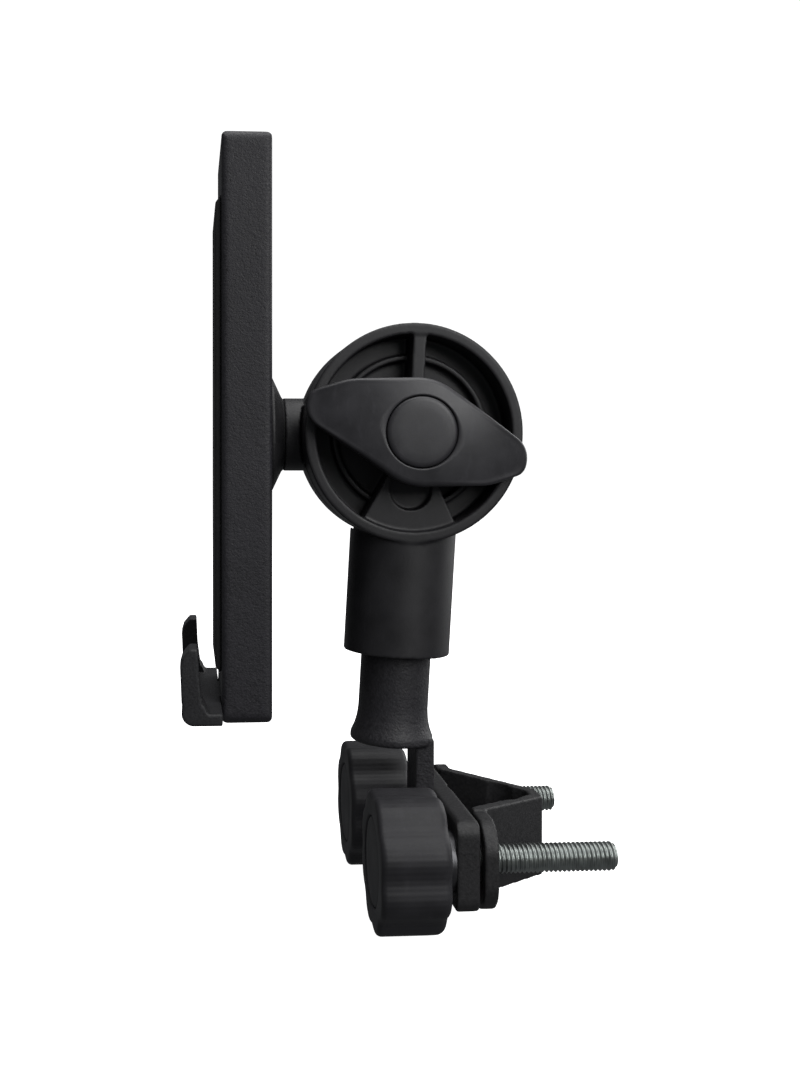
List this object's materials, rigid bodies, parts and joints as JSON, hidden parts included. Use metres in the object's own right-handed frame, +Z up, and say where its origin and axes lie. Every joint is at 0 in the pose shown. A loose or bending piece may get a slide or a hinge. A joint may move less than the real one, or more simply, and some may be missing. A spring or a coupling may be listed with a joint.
{
  "type": "phone mount",
  "caption": "Bar clamp with lobed hand knobs, leaning post, tilting hub with a leaf-shaped wing knob, and a turning back plate with rubber pad and bottom hooks for a phone.",
  "frame": {"origin": "on the axis of the clamped bar, at the height of the clamp bolts", "axes": "+Z up along the bar's axis; +X from the phone towards the bar and the bolt tips; +Y to the right seen from the phone side"},
  "size_m": [0.1201, 0.0934, 0.22],
  "materials": {
    "plate_paint": "grainy satin powder coat, dark charcoal",
    "pad_rubber": "matte black rubber",
    "hook_paint": "satin black powder coat",
    "dark_steel": "blackened screw steel",
    "black_plastic": "matte black moulded plastic",
    "hub_plastic": "fine matte black moulded plastic",
    "wing_plastic": "satin black moulded plastic",
    "knob_plastic": "satin black moulded plastic",
    "post_paint": "coarse grainy powder coat, charcoal",
    "jaw_paint": "satin black paint on a casting",
    "zinc": "bright zinc plating",
    "brass": "turned brass",
    "friction_fibre": "pressed friction fibre"
  },
  "bodies": {
    "base": {"back_jaw": "jaw_paint", "post": "post_paint", "foot_screws": "dark_steel"},
    "near_screw": {"near_knob": "knob_plastic", "near_knob_cap": "knob_plastic", "near_stud": "zinc", "near_washer": "dark_steel"},
    "far_screw": {"far_knob": "knob_plastic", "far_knob_cap": "knob_plastic", "far_stud": "zinc", "far_washer": "dark_steel"},
    "front": {"front_jaw": "jaw_paint", "jaw_inserts": "dark_steel"},
    "sleeve": {"socket_hub": "hub_plastic", "sleeve_set_screw": "dark_steel", "friction_disc": "friction_fibre"},
    "wing": {"wing_knob": "wing_plastic", "wing_insert": "brass", "wing_cap": "wing_plastic", "tilt_washer": "zinc"},
    "neck": {"neck_hub": "hub_plastic", "neck_set_screw": "dark_steel", "tilt_bolt": "zinc"},
    "head": {"back_plate": "plate_paint", "front_pad": "pad_rubber", "hook_bracket": "hook_paint", "hook_screws": "dark_steel", "swivel_flange": "black_plastic", "flange_screws": "dark_steel"}
  },
  "joints": [
    {"name": "near_turn", "type": "hinge", "parent": "base", "child": "near_screw", "pos_m": [0, -0.0285, 0], "axis": [-1, 0, 0], "range_deg": [-300, 3240]},
    {"name": "far_turn", "type": "hinge", "parent": "base", "child": "far_screw", "pos_m": [0, 0.0285, 0], "axis": [-1, 0, 0], "range_deg": [-300, 3240]},
    {"name": "jaw_slide", "type": "slide", "parent": "base", "child": "front", "axis": [1, 0, 0], "range_m": [-0.00105, 0.0113]},
    {"name": "post_swivel", "type": "hinge", "parent": "base", "child": "sleeve", "pos_m": [-0.0232, 0, 0.11734], "axis": [0.0558, 0, 0.9984], "range_deg": [-170, 170]},
    {"name": "tilt", "type": "hinge", "parent": "sleeve", "child": "neck", "pos_m": [-0.0242, 0, 0.1174], "axis": [0, 1, 0], "range_deg": [-10, 75]},
    {"name": "wing_turn", "type": "hinge", "parent": "neck", "child": "wing", "pos_m": [-0.0242, 0, 0.1174], "axis": [0, 1, 0], "range_deg": [-180, 180]},
    {"name": "head_spin", "type": "hinge", "parent": "neck", "child": "head", "pos_m": [-0.0648, 0.0047, 0.1174], "axis": [1, 0, 0], "range_deg": [-180, 180]}
  ],
  "couplings": [
    {"joint": "far_turn", "follows": "near_turn", "ratio": 1},
    {"joint": "jaw_slide", "follows": "near_turn", "m_per_rad": 0.00019894}
  ]
}
